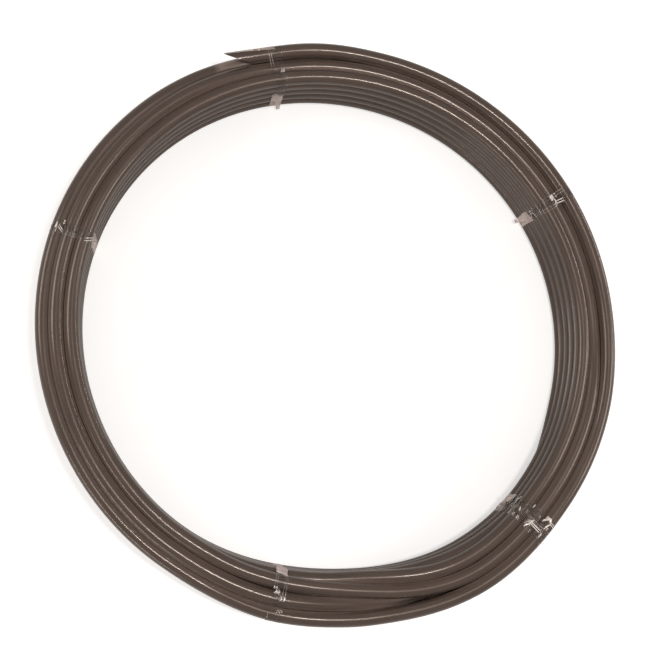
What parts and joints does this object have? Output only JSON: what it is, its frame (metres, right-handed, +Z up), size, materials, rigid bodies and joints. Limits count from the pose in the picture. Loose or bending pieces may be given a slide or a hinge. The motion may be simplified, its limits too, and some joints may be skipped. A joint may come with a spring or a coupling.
{
  "type": "coil of polyethylene pipe",
  "caption": "Black polyethylene water pipe wound in a wide flat coil, bound with bands of clear tape, with a straight open end to join to.",
  "frame": {"origin": "on the coil's axis, at the level that the lying coil rests on", "axes": "+Z up along the coil's axis, +X to the right and +Y away from the usual viewer; the open end of the pipe is near +Y and points anticlockwise, towards -X"},
  "size_m": [1.2864, 1.2865, 0.1636],
  "materials": {
    "pipe": "satin extruded polyethylene, black, with fine drawing lines",
    "tape": "clear packing tape, wrinkled"
  },
  "bodies": {
    "root": {"pipe": "pipe", "tape_right": "tape", "tape_top": "tape", "tape_left": "tape", "tape_bottom": "tape", "tape_lower_right": "tape", "tape_lower_right_second": "tape"}
  },
  "joints": []
}
